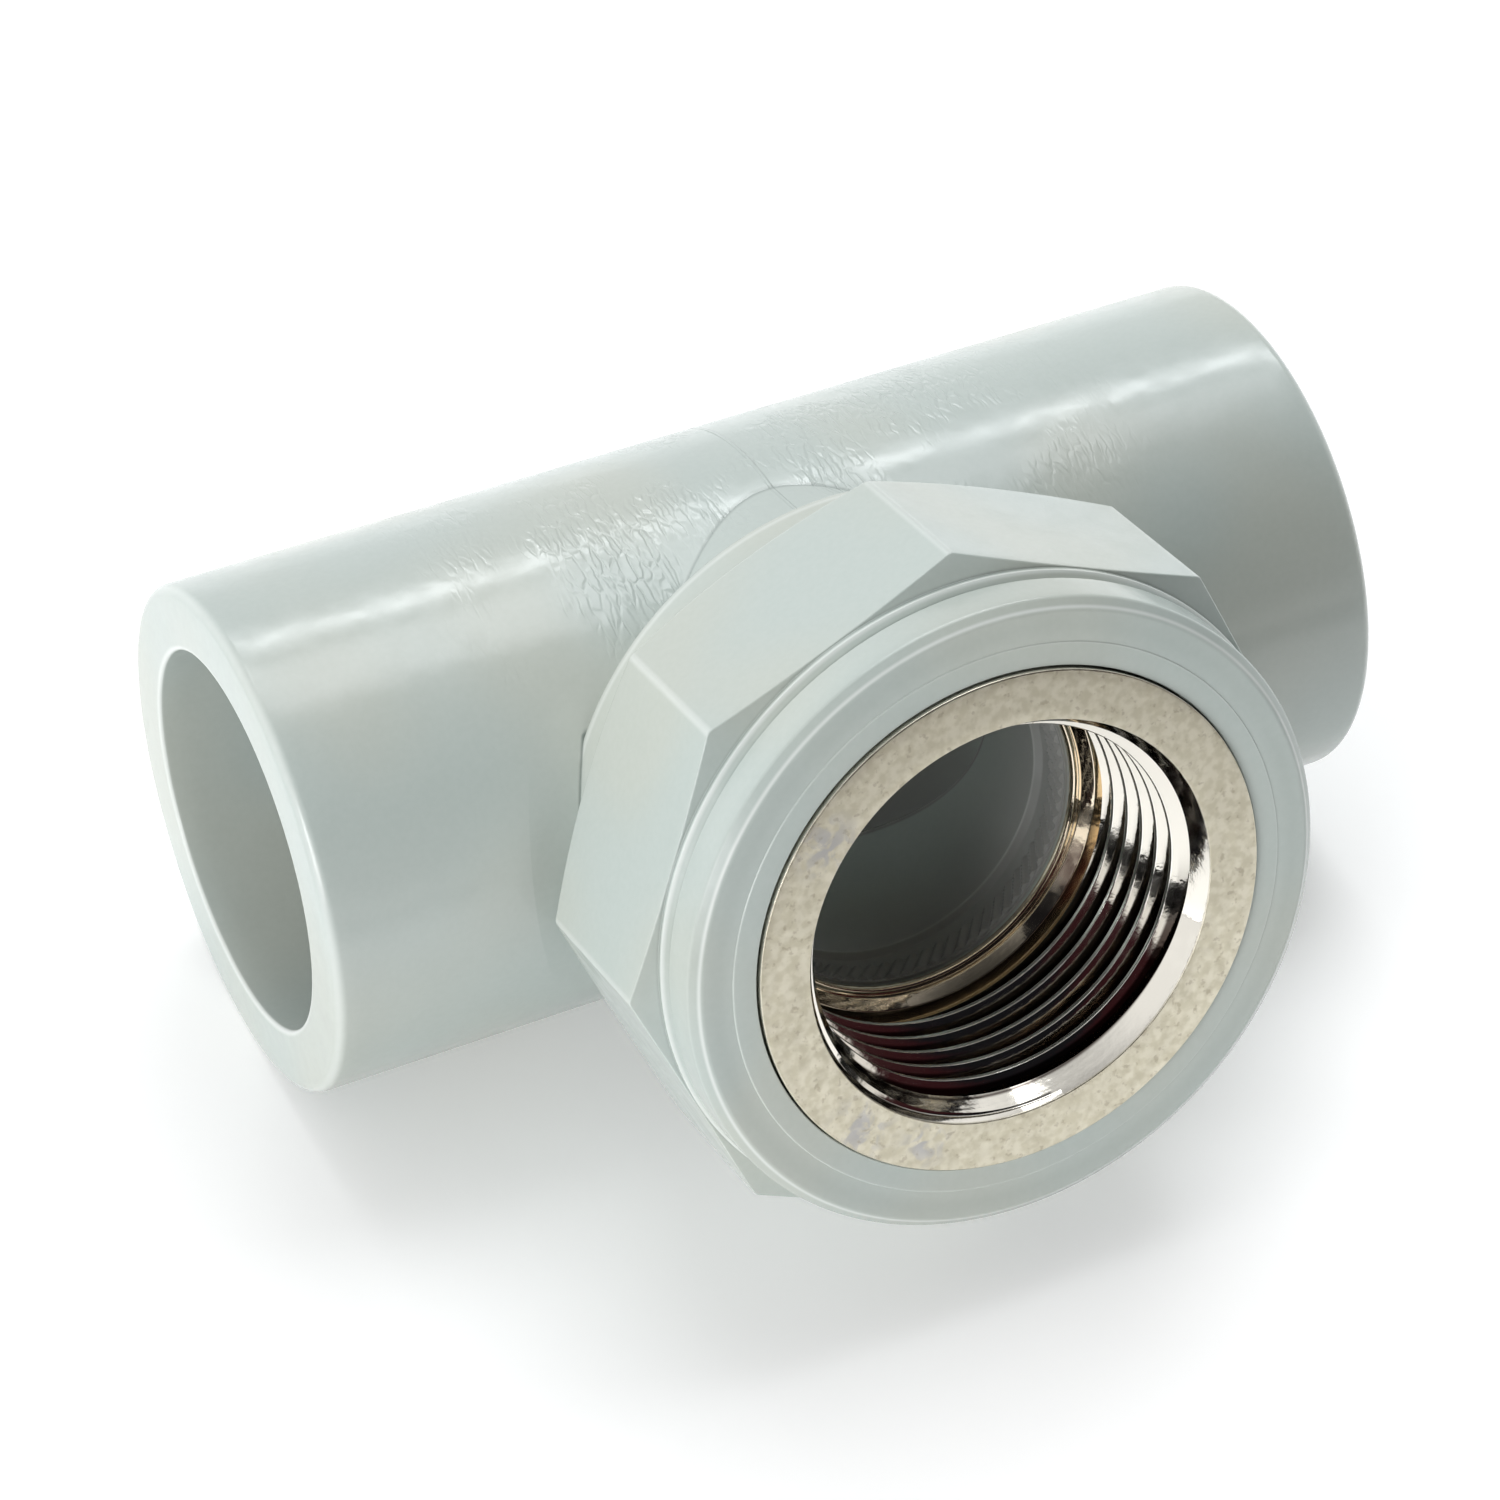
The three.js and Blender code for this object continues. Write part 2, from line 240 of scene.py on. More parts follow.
def mesh_object(name, lattice, closed=False):
    """An object from rows of points. Each row is a loop, and every loop is joined to the next. The last
    loop is joined to the first when closed, and otherwise both of them are capped."""
    rows, columns = lattice.shape[:2]
    row = np.arange(rows if closed else rows - 1)[:, None]
    column = np.arange(columns)[None, :]
    here = row * columns
    up = (row + 1) % rows * columns
    along = (column + 1) % columns
    quads = np.stack(np.broadcast_arrays(here + column, here + along, up + along, up + column), axis=2)
    faces = quads.reshape(-1, 4).tolist()
    if not closed:
        faces.append(list(range(columns))[::-1])
        faces.append(list(range((rows - 1) * columns, rows * columns)))
    points = lattice.reshape(-1, 3)
    corners = points[quads.reshape(-1, 4)]
    volume = (np.cross(corners[:, 0], corners[:, 1]) * corners[:, 2]).sum()
    volume += (np.cross(corners[:, 0], corners[:, 2]) * corners[:, 3]).sum()
    if volume < 0:
        faces = [face[::-1] for face in faces]
    mesh = bpy.data.meshes.new(name)
    mesh.from_pydata(points.tolist(), [], faces)
    piece = bpy.data.objects.new(name, mesh)
    bpy.context.scene.collection.objects.link(piece)
    return piece


def combine(piece, other, operation):
    """Joins another solid to a piece, or cuts it away, and deletes the other solid."""
    modifier = piece.modifiers.new(operation, "BOOLEAN")
    modifier.object = other
    modifier.operation = operation
    modifier.solver = "MANIFOLD"
    graph = bpy.context.evaluated_depsgraph_get()
    made = bpy.data.meshes.new_from_object(piece.evaluated_get(graph))
    piece.modifiers.clear()
    old = piece.data
    piece.data = made
    bpy.data.meshes.remove(old)
    bpy.data.meshes.remove(other.data)


def even_angles(count):
    return np.arange(count) * 2 * math.pi / count


# ---- moulded body --------------------------------------------------------------------------------

def wrench_angles():
    """Angles round the octagon, closest together where its corners are rounded."""
    half_sector = math.pi / SECTORS
    rounded = corner_rounding_angle()
    steps_on_corner, steps_on_flat, crowding = 3, 14, 1.5
    flat = rounded + (half_sector - rounded) * np.linspace(0, 1, steps_on_flat + 1)[1:] ** crowding
    half = np.concatenate([np.linspace(0, rounded, steps_on_corner + 1), flat])
    sector = np.concatenate([half, 2 * half_sector - half[-2:0:-1]])
    return np.concatenate([sector + 2 * half_sector * i for i in range(SECTORS)])


def corner_rounding_angle():
    """Half the angle that a rounded corner of the octagon takes up, seen from the branch axis."""
    centre = (ACROSS_FLATS / 2 - WRENCH_EDGE) / math.cos(math.pi / SECTORS)
    half = math.pi / SECTORS
    return math.atan2(WRENCH_EDGE * math.sin(half), centre + WRENCH_EDGE * math.cos(half))


def wrench_radius(angles):
    """Distance from the branch axis to an octagon with rounded corners, one of them at angle 0."""
    half = math.pi / SECTORS
    from_corner = (angles + half) % (2 * half) - half
    flat = ACROSS_FLATS / 2 / np.cos(half - np.abs(from_corner))
    centre = (ACROSS_FLATS / 2 - WRENCH_EDGE) / math.cos(half)
    across = centre * np.sin(from_corner)
    rounded = centre * np.cos(from_corner) + np.sqrt(np.maximum(WRENCH_EDGE ** 2 - across ** 2, 0))
    return np.where(np.abs(from_corner) < corner_rounding_angle(), rounded, flat)


def run_solid():
    """The plain straight run, before its sockets are cut."""
    angles = even_angles(RUN_COLUMNS)
    end = RUN_HALF_LENGTH
    half = [(end, RUN_RADIUS, RUN_EDGE), (end, WATERWAY_RADIUS - OVERRUN, 0)]
    mirrored = [(-station, radius, rounding) for station, radius, rounding in reversed(half)]
    rows = profile(mirrored + half, angles, OUTSIDE_STEP)
    return mesh_object("moulded_body", along_run(rows, angles))


def branch_solid():
    """Neck, flange, octagon, bead, groove and collar, from the rear to the front."""
    angles = wrench_angles()
    octagon = wrench_radius(angles)
    flat = ACROSS_FLATS / 2
    rise = (octagon - flat) / (WRENCH_CORNER_RADIUS - flat)
    rear_slope = (WRENCH_REAR_CORNER - WRENCH_REAR) / (WRENCH_CORNER_RADIUS - flat)
    cone_foot = WRENCH_REAR - (flat - FLANGE_RADIUS) * rear_slope
    corners = [
        (NECK_START, NECK_RADIUS - OVERRUN, 0),
        (NECK_START, NECK_RADIUS, 0),
        (FLANGE_REAR, NECK_RADIUS, 0.25),
        (FLANGE_REAR, FLANGE_RADIUS, 0.35),
        (cone_foot, FLANGE_RADIUS, 0.25),
        (WRENCH_REAR + (WRENCH_REAR_CORNER - WRENCH_REAR) * rise, octagon, 0.3),
        (WRENCH_FRONT + (WRENCH_FRONT_CORNER - WRENCH_FRONT) * rise, octagon, 0.12),
        (WRENCH_FRONT, flat - 0.1, 0.05),
        (BEAD_FRONT, flat - 0.05, 0.12),
        (GROOVE_STATION, GROOVE_RADIUS, 0.12),
        (COLLAR_REAR, COLLAR_RADIUS, 0.12),
        (COLLAR_FACE - 0.62, COLLAR_RADIUS - 0.05, 0.35),
        (COLLAR_FACE - COLLAR_STEP, COLLAR_RADIUS - 0.75, 0.5),
        (COLLAR_FACE - COLLAR_STEP, COLLAR_STEP_RADIUS + 0.06, 0.03),
        (COLLAR_FACE, COLLAR_STEP_RADIUS, 0.03),
        (COLLAR_FACE, INSERT_FACE_RADIUS, 0),
        (COLLAR_FACE, INSERT_FACE_RADIUS - OVERRUN, 0),
    ]
    rows = profile(corners, angles, OUTSIDE_STEP)
    return mesh_object("branch", along_branch(rows, angles))


def run_bore():
    """Both sockets and the waterway between them, running past the end faces."""
    angles = even_angles(RUN_BORE_COLUMNS)
    end = RUN_HALF_LENGTH
    stop = end - SOCKET_DEPTH
    mouth = SOCKET_MOUTH_RADIUS + SOCKET_LIP
    half = [
        (stop, WATERWAY_RADIUS, 0.15),
        (stop, SOCKET_ROOT_RADIUS, 0.15),
        (end - SOCKET_LIP, SOCKET_MOUTH_RADIUS, 0),
        *[(end - SOCKET_LIP * (1 - math.sin(t)), mouth - SOCKET_LIP * math.cos(t), 0)
          for t in np.linspace(0, math.pi / 2, 6)[1:]],
        (end + OVERRUN, mouth, 0),
    ]
    mirrored = [(-station, radius, rounding) for station, radius, rounding in reversed(half)]
    rows = profile(mirrored + half, angles, RUN_BORE_STEP)
    return mesh_object("run_bore", along_run(rows, angles))


def hatched_radius(station, angles):
    """Counterbore radius inside its band of fine slanting teeth."""
    turn = angles * HATCH_TEETH / (2 * math.pi) + (station - HATCH[0]) * HATCH_SLANT
    return COUNTERBORE_RADIUS - HATCH_HEIGHT * (0.5 - 0.5 * np.cos(2 * math.pi * turn))


def branch_bore():
    """Branch bore, counterbore and the pocket that holds the bush, running past the collar face."""
    angles = even_angles(HATCH_TEETH * COLUMNS_PER_TOOTH)
    head = INSERT_FACE_RADIUS + HEAD_GAP
    rear = INSERT_REAR - CLEARANCE / 2
    corners = [
        (0, BRANCH_BORE_RADIUS, 0),
        (COUNTERBORE_FLOOR, BRANCH_BORE_RADIUS, 0.12),
        (COUNTERBORE_FLOOR + 0.3, COUNTERBORE_RADIUS, 0.1),
        (HATCH[0] - 0.1, COUNTERBORE_RADIUS, 0),
        *[(station, hatched_radius(station, angles), 0) for station in np.linspace(*HATCH, 12)],
        (HATCH[1] + 0.05, COUNTERBORE_RADIUS, 0),
        (rear, COUNTERBORE_RADIUS, 0),
        (rear, POCKET_RADIUS, 0),
        (HEAD_REAR - CLEARANCE, POCKET_RADIUS, 0),
        (HEAD_REAR - CLEARANCE, head, 0),
        (COLLAR_FACE - 0.06, head, 0),
        (COLLAR_FACE + 0.02, head + 0.07, 0),
        (COLLAR_FACE + OVERRUN, head + 0.07, 0),
    ]
    rows = profile(corners, angles, BRANCH_BORE_STEP)
    return mesh_object("branch_bore", along_branch(rows, angles))


def make_body():
    body = run_solid()
    combine(body, branch_solid(), "UNION")
    combine(body, run_bore(), "DIFFERENCE")
    combine(body, branch_bore(), "DIFFERENCE")
    return body


# ---- metal bush ----------------------------------------------------------------------------------

def thread_cutter():
    """A helical bar that cuts a right-hand 55 degree thread with rounded roots and crest edges. Its inner
    part lies in the open bore, and is a little narrower than the pitch so that its turns never touch."""
    crest = THREAD_MINOR - 0.003
    inside = THREAD_MINOR - 0.2
    apex = THREAD_MAJOR + WHITWORTH_HEIGHT * THREAD_PITCH / 6
    opening = (apex - crest) * math.tan(THREAD_HALF_ANGLE)
    half_width = 0.495 * THREAD_PITCH
    crest_rounding = 0.13
    corners = [
        (-half_width, inside, 0),
        (-half_width, crest, 0),
        (-opening, crest, crest_rounding),
        (0, apex, WHITWORTH_ROUNDING * THREAD_PITCH),
        (opening, crest, crest_rounding),
        (half_width, crest, 0),
        (half_width, inside, 0),
    ]
    section = profile(corners, np.zeros(1), THREAD_STEP, closed=True)[:, 0]
    first = (RELIEF[1] + 0.2) / THREAD_PITCH
    last = (INSERT_FACE + OVERRUN) / THREAD_PITCH
    turns = np.linspace(first, last, round((last - first) * THREAD_STEPS_PER_TURN))[:, None]
    rows = np.stack(np.broadcast_arrays(THREAD_PITCH * turns + section[:, 0], section[:, 1]), axis=2)
    return mesh_object("thread", along_branch(rows, 2 * math.pi * (turns - THREAD_PHASE)))


def knurl_corners(band, angles):
    """Corners of a band of straight teeth round the shank, from its front to its rear."""
    rear, front = band
    teeth = np.abs((angles * KNURL_TEETH / (2 * math.pi)) % 1 - 0.5) * 2
    radius = SHANK_RADIUS + (KNURL_RADIUS - SHANK_RADIUS) * teeth
    end_slope = 0.3
    return [
        (front + end_slope, SHANK_RADIUS, 0),
        (front, radius, 0),
        (rear, radius, 0),
        (rear - end_slope, SHANK_RADIUS, 0),
    ]


def make_insert():
    """The bush: its bore from the rear to the mouth, and back along its outside."""
    angles = even_angles(KNURL_TEETH * COLUMNS_PER_TOOTH)
    cone_start = INSERT_FACE - (INSERT_MOUTH_RADIUS - THREAD_MINOR) / LEAD_SLOPE
    corners = [
        (INSERT_REAR, REAR_LIP_RADIUS, 0.15),
        (INSERT_REAR + REAR_LIP_LENGTH, REAR_LIP_RADIUS, 0.25),
        (INSERT_REAR + REAR_LIP_LENGTH, THROAT_RADIUS, 0.05),
        (RELIEF[0] - 0.7, THROAT_RADIUS, 0.1),
        (RELIEF[0] - 0.1, THROAT_RADIUS + 0.6, 0.15),
        (RELIEF[0], RELIEF_RADIUS, 0.1),
        (RELIEF[1], RELIEF_RADIUS, 0.1),
        (RELIEF[1] + 0.5, THREAD_MINOR, 0.1),
        (cone_start, THREAD_MINOR, 0.2),
        (INSERT_FACE, INSERT_MOUTH_RADIUS, 0.08),
        (INSERT_FACE, INSERT_FACE_RADIUS, 0.12),
        (HEAD_REAR, INSERT_FACE_RADIUS, 0.1),
        (HEAD_REAR, SHANK_RADIUS, 0.1),
        *knurl_corners(FRONT_KNURL, angles),
        (SEAL_GROOVE[1], SHANK_RADIUS, 0.08),
        (SEAL_GROOVE[1], SEAL_GROOVE_RADIUS, 0.1),
        (SEAL_GROOVE[0], SEAL_GROOVE_RADIUS, 0.1),
        (SEAL_GROOVE[0], SHANK_RADIUS, 0.08),
        *knurl_corners(REAR_KNURL, angles),
        (INSERT_REAR, SHANK_RADIUS - 0.8, 0.1),
    ]
    rows = profile(corners, angles, OUTSIDE_STEP, closed=True)
    bush = mesh_object("metal_bush", along_branch(rows, angles), closed=True)
    combine(bush, thread_cutter(), "DIFFERENCE")
    return bush


# ---- seal ring -----------------------------------------------------------------------------------

def make_seal():
    """A round ring with a fine mould flash line inside and outside."""
    angles = even_angles(SEAL_COLUMNS)
    middle = (SEAL_GROOVE[0] + SEAL_GROOVE[1]) / 2
    flash_height = 0.03
    corners = []
    for turn in even_angles(32):
        on_flash = abs(math.cos(turn)) > 0.999
        radius = SEAL_SECTION_RADIUS + flash_height * on_flash
        corners.append((middle + radius * math.sin(turn), SEAL_CENTRE_RADIUS + radius * math.cos(turn), 0))
    rows = profile(corners, angles, SEAL_STEP, closed=True)
    return mesh_object("rubber_ring", along_branch(rows, angles), closed=True)


# ---- materials -----------------------------------------------------------------------------------

def new_material(name):
    """A new material with the pattern builder for it and its main shader."""
    material = bpy.data.materials.new(name)
    material.use_nodes = True
    return material, Pattern(material.node_tree), material.node_tree.nodes["Principled BSDF"]


class Pattern:
    """Builds the nodes of one material. Its patterns are laid out in the fitting's own axes, in mm."""

    def __init__(self, tree):
        self.nodes = tree.nodes
        self.links = tree.links
        self.bump_normal = None
        lying = self.nodes.new("ShaderNodeTexCoord").outputs["Object"]
        mapping = self.nodes.new("ShaderNodeMapping")
        upright = Matrix.Rotation(LYING_ANGLE, 3, "X")
        mapping.inputs["Location"].default_value = -(upright @ RUN_AXIS) / MM
        mapping.inputs["Rotation"].default_value = (LYING_ANGLE, 0, 0)
        mapping.inputs["Scale"].default_value = (1 / MM,) * 3
        self.links.new(lying, mapping.inputs["Vector"])
        self.place = mapping.outputs["Vector"]

    def feed(self, value, socket):
        """Links an output to an input, or sets the input to a plain number or colour."""
        if isinstance(value, bpy.types.NodeSocket):
            self.links.new(value, socket)
        else:
            socket.default_value = value

    def math(self, operation, first, second=0.0):
        node = self.nodes.new("ShaderNodeMath")
        node.operation = operation
        self.feed(first, node.inputs[0])
        self.feed(second, node.inputs[1])
        return node.outputs["Value"]

    def stretched(self, scale):
        """The fitting's coordinates multiplied along each axis."""
        node = self.nodes.new("ShaderNodeVectorMath")
        node.operation = "MULTIPLY"
        self.links.new(self.place, node.inputs[0])
        node.inputs[1].default_value = scale
        return node.outputs["Vector"]

    def stirred(self, scale, amount):
        """The fitting's coordinates multiplied along each axis and pushed about by noise."""
        stir = self.nodes.new("ShaderNodeTexNoise")
        stir.inputs["Scale"].default_value = 0.5
        self.links.new(self.place, stir.inputs["Vector"])
        node = self.nodes.new("ShaderNodeVectorMath")
        node.operation = "MULTIPLY_ADD"
        self.links.new(stir.outputs["Color"], node.inputs[0])
        node.inputs[1].default_value = (amount,) * 3
        self.links.new(self.stretched(scale), node.inputs[2])
        return node.outputs["Vector"]

    def noise(self, scale, detail=2.0, distortion=0.0, place=None):
        node = self.nodes.new("ShaderNodeTexNoise")
        node.inputs["Scale"].default_value = scale
        node.inputs["Detail"].default_value = detail
        node.inputs["Distortion"].default_value = distortion
        self.links.new(place or self.place, node.inputs["Vector"])
        return node.outputs["Fac"]

    def cells(self, scale, place=None):
        """Distance to the edges of a cell pattern."""
        node = self.nodes.new("ShaderNodeTexVoronoi")
        node.feature = "DISTANCE_TO_EDGE"
        node.inputs["Scale"].default_value = scale
        self.links.new(place or self.place, node.inputs["Vector"])
        return node.outputs["Distance"]

    def ramp(self, value, low, high, to_low=0.0, to_high=1.0):
        """Goes smoothly from to_low to to_high as the value goes from low to high."""
        node = self.nodes.new("ShaderNodeMapRange")
        node.interpolation_type = "SMOOTHSTEP"
        self.links.new(value, node.inputs["Value"])
        for name, number in (("From Min", low), ("From Max", high), ("To Min", to_low), ("To Max", to_high)):
            node.inputs[name].default_value = number
        return node.outputs["Result"]

    def near(self, point, radius):
        """One at a point of the fitting, falling to nothing at that distance from it."""
        node = self.nodes.new("ShaderNodeVectorMath")
        node.operation = "DISTANCE"
        self.links.new(self.place, node.inputs[0])
        node.inputs[1].default_value = point
        return self.ramp(node.outputs["Value"], 0, radius, 1, 0)

    def axis(self, letter):
        node = self.nodes.new("ShaderNodeSeparateXYZ")
        self.links.new(self.place, node.inputs["Vector"])
        return node.outputs[letter]

    def distance_from_axis(self, across, up):
        """Distance from the axis that is square to the two given letters."""
        squares = [self.math("POWER", self.axis(letter), 2.0) for letter in (across, up)]
        return self.math("SQRT", self.math("ADD", *squares))

    def near_line(self, first, second, first_value, second_value, width):
        """One where two measures, such as station and radius, have the given values, and nothing where
        they are as far from them as the width."""
        along = self.math("POWER", self.math("SUBTRACT", first, first_value), 2.0)
        across = self.math("POWER", self.math("SUBTRACT", second, second_value), 2.0)
        return self.ramp(self.math("SQRT", self.math("ADD", along, across)), 0, width, 1, 0)

    def mix(self, amount, first, second):
        node = self.nodes.new("ShaderNodeMix")
        node.data_type = "RGBA"
        self.feed(amount, node.inputs["Factor"])
        self.feed(first, node.inputs["A"])
        self.feed(second, node.inputs["B"])
        return node.outputs["Result"]

    def bump(self, height, strength, distance):
        """Adds a layer of relief. The distance is in millimetres."""
        node = self.nodes.new("ShaderNodeBump")
        node.inputs["Strength"].default_value = strength
        node.inputs["Distance"].default_value = distance * MM
        self.links.new(height, node.inputs["Height"])
        if self.bump_normal is not None:
            self.links.new(self.bump_normal, node.inputs["Normal"])
        self.bump_normal = node.outputs["Normal"]


def plastic_colour(pattern, station, run_station):
    """Mottled grey, with painted shade inside the bores and in the creases, painted highlights along the
    edges, and a pale scuff.
    """
    cool, warm, pale = (0.395, 0.445, 0.423, 1), (0.415, 0.445, 0.405, 1), (0.66, 0.69, 0.67, 1)
    painted_shade, inside = (0.15, 0.18, 0.165, 1), (0.28, 0.285, 0.275, 1)
    radius = pattern.distance_from_axis("X", "Z")
    run_radius = pattern.distance_from_axis("Y", "Z")
    colour = pattern.mix(pattern.ramp(pattern.noise(0.09, 0), 0.3, 0.7), cool, warm)
    speckle = pattern.ramp(pattern.noise(2.5, 1), 0.2, 0.8)
    colour = pattern.mix(pattern.math("MULTIPLY", speckle, 0.05), colour, pale)

    # Painted shade inside the branch and the waterway.
    in_branch = pattern.ramp(radius, COUNTERBORE_RADIUS + 0.1, COUNTERBORE_RADIUS + 0.3, 1, 0)
    in_branch = pattern.math("MULTIPLY", in_branch, pattern.ramp(station, 8, INSERT_REAR))
    in_run = pattern.ramp(run_radius, WATERWAY_RADIUS + 0.1, WATERWAY_RADIUS + 0.3, 1, 0)
    in_run = pattern.math("MULTIPLY", in_run, pattern.ramp(run_station, 14, 20, 1, 0))
    colour = pattern.mix(pattern.math("MAXIMUM", in_branch, in_run), colour, inside)

    # Painted highlights along the edges, the octagon's corners and the branch bore's edge, and a pale scuff
    # of wear.
    edges = [(pattern.near_line(station, radius, *ring), share) for ring, share in PAINTED_HIGHLIGHT_RINGS]
    edges += [(pattern.near_line(run_station, run_radius, *ring), share) for ring, share in RUN_PAINTED_HIGHLIGHT_RINGS]
    edges.append((pattern.near_line(run_radius, radius, WATERWAY_RADIUS, BRANCH_BORE_RADIUS, 0.16), 0.18))
    corners = pattern.ramp(radius, WRENCH_CORNER_RADIUS - 0.16, WRENCH_CORNER_RADIUS - 0.05)
    on_wrench = pattern.ramp(station, FLANGE_REAR, WRENCH_REAR)
    edges.append((pattern.math("MULTIPLY", corners, on_wrench), 0.3))
    edges.append((pattern.near(SCUFF, SCUFF_RADIUS), 1.0))
    for amount, share in edges:
        colour = pattern.mix(pattern.math("MULTIPLY", amount, share), colour, pale)

    # Painted shade in the grooves and creases, and where the neck and the flange meet the run.
    creases = [(pattern.near_line(station, radius, *ring), share) for ring, share in PAINTED_SHADE_RINGS]
    neck_foot = pattern.near_line(radius, run_radius, NECK_RADIUS, RUN_RADIUS, 0.11)
    creases.append((pattern.math("MULTIPLY", neck_foot, pattern.ramp(station, 0, 1)), 0.45))
    flange_foot = pattern.near_line(radius, run_radius, FLANGE_RADIUS, RUN_RADIUS, 0.2)
    on_flange = pattern.ramp(station, FLANGE_REAR - 0.05, FLANGE_REAR + 0.05)
    creases.append((pattern.math("MULTIPLY", flange_foot, on_flange), 0.7))
    for amount, share in creases:
        colour = pattern.mix(pattern.math("MULTIPLY", amount, share), colour, painted_shade)
    return colour


def plastic_relief(pattern, station, run_station):
    """Fine wrinkles on top of the run beside the flange, soft waves, and a mould line over the top."""
    height = pattern.axis("Z")
    behind_flange = pattern.ramp(station, FLANGE_REAR - 1, FLANGE_REAR, 1, 0)
    near_flange = pattern.ramp(run_station, 12, 27, 1, 0)
    patchy = pattern.ramp(pattern.noise(0.16, 2), 0.40, 0.60)
    where = pattern.math("MULTIPLY", pattern.ramp(height, 10.5, 13), near_flange)
    where = pattern.math("MULTIPLY", where, pattern.math("MULTIPLY", patchy, behind_flange))
    cells = pattern.cells(1.0, pattern.stirred((1.9, 0.5, 0.5), 1.4))
    wrinkles = pattern.ramp(cells, 0.0, 0.25)
    pattern.bump(pattern.math("MULTIPLY", wrinkles, where), 1.0, 0.04)
    pattern.bump(pattern.noise(0.28, 2), 1.0, 0.05)

    from_line = pattern.math("ABSOLUTE", pattern.math("SUBTRACT", pattern.axis("X"), 0.3))
    mould_line = pattern.ramp(from_line, 0.05, 0.18, 1, 0)
    upper_half = pattern.ramp(height, 0, 1)
    mould_line = pattern.math("MULTIPLY", mould_line, pattern.math("MULTIPLY", upper_half, behind_flange))
    pattern.bump(mould_line, 1.0, 0.05)


def plastic_material():
    """Grey moulded plastic. Its roughness stays under 0.27, because Cycles' denoiser makes sharp-edged
    blotches where a roughness pattern goes from below that to above it."""
    material, pattern, shader = new_material("grey_plastic")
    station = pattern.math("MULTIPLY", pattern.axis("Y"), -1.0)
    run_station = pattern.math("ABSOLUTE", pattern.axis("X"))
    pattern.feed(plastic_colour(pattern, station, run_station), shader.inputs["Base Color"])
    pattern.feed(pattern.ramp(pattern.noise(0.5, 2), 0.3, 0.7, 0.18, 0.26), shader.inputs["Roughness"])
    plastic_relief(pattern, station, run_station)
    pattern.feed(pattern.bump_normal, shader.inputs["Normal"])
    return material


def nickel_face_colour(pattern):
    """Dull mottled metal with stains and small brown pits."""
    dull, paler = (0.57, 0.53, 0.41, 1), (0.67, 0.63, 0.51, 1)
    stain, pit = (0.46, 0.45, 0.44, 1), (0.30, 0.25, 0.18, 1)
    colour = pattern.mix(pattern.ramp(pattern.noise(1.5, 2), 0.35, 0.65), dull, paler)
    blotches = pattern.ramp(pattern.noise(0.9, 5, 0.6), 0.45, 0.6)
    for point, radius in STAINS:
        colour = pattern.mix(pattern.math("MULTIPLY", pattern.near(point, radius), blotches), colour, stain)
    pits = pattern.ramp(pattern.noise(2.2, 2), 0.60, 0.72)
    return pattern.mix(pattern.math("MULTIPLY", pits, 0.4), colour, pit)


def nickel_bore_colour(pattern):
    """Bright thread crests, painted shade in the roots in the lower half of the bore, a warm throat, and a
    clean lead-in.
    """
    clean, crest = (0.80, 0.77, 0.70, 1), (0.97, 0.95, 0.90, 1)
    root, throat = (0.09, 0.07, 0.06, 1), (0.90, 0.79, 0.62, 1)
    radius = pattern.distance_from_axis("X", "Z")
    colour = pattern.mix(pattern.ramp(radius, THREAD_MINOR, THREAD_MINOR + 0.1), crest, clean)
    # Painted shade: near-black roots, only in the lower half of the bore.
    in_root = pattern.ramp(radius, THREAD_MINOR + 0.3, THREAD_MINOR + 0.5)
    low = pattern.ramp(pattern.axis("Z"), -6, 0, 1, 0)
    colour = pattern.mix(pattern.math("MULTIPLY", in_root, low), colour, root)
    in_thread = pattern.ramp(pattern.axis("Y"), -RELIEF[1] - 0.3, -RELIEF[1], 1, 0)
    colour = pattern.mix(in_thread, throat, colour)
    on_lead = pattern.ramp(pattern.axis("Y"), -INSERT_FACE + 1.3, -INSERT_FACE + 1.5, 1, 0)
    return pattern.mix(on_lead, colour, clean)


def nickel_material():
    """Nickel plating over machined brass: polished in the bore, dulled and spotted on the face."""
    material, pattern, shader = new_material("nickel_plated_brass")
    on_face = pattern.ramp(pattern.axis("Y"), -INSERT_FACE, -INSERT_FACE + 0.15, 1, 0)
    colour = pattern.mix(on_face, nickel_bore_colour(pattern), nickel_face_colour(pattern))
    pattern.feed(colour, shader.inputs["Base Color"])
    shader.inputs["Metallic"].default_value = 1
    roughness = pattern.nodes.new("ShaderNodeMix")
    pattern.feed(on_face, roughness.inputs["Factor"])
    pattern.feed(pattern.ramp(pattern.noise(1.0, 2), 0.3, 0.7, 0.05, 0.11), roughness.inputs["A"])
    pattern.feed(pattern.ramp(pattern.noise(1.4, 2), 0.3, 0.7, 0.30, 0.42), roughness.inputs["B"])
    pattern.feed(roughness.outputs["Result"], shader.inputs["Roughness"])
    tool_marks = pattern.noise(1.0, 1, 0, pattern.stretched((0.25, 4, 0.25)))
    pattern.bump(tool_marks, 1.0, 0.003)
    pattern.bump(pattern.noise(1.8, 2), 1.0, 0.008)
    pattern.feed(pattern.bump_normal, shader.inputs["Normal"])
    return material


def rubber_material():
    """Black rubber with a dusty, slightly uneven skin."""
    material, pattern, shader = new_material("black_rubber")
    black, dusty = (0.010, 0.010, 0.011, 1), (0.025, 0.025, 0.026, 1)
    dust = pattern.ramp(pattern.noise(1.2, 4), 0.4, 0.7)
    pattern.feed(pattern.mix(dust, black, dusty), shader.inputs["Base Color"])
    pattern.feed(pattern.ramp(dust, 0, 1, 0.5, 0.75), shader.inputs["Roughness"])
    pattern.bump(pattern.noise(3.0, 4), 1.0, 0.01)
    pattern.feed(pattern.bump_normal, shader.inputs["Normal"])
    return material


# ---- camera, light and floor ---------------------------------------------------------------------

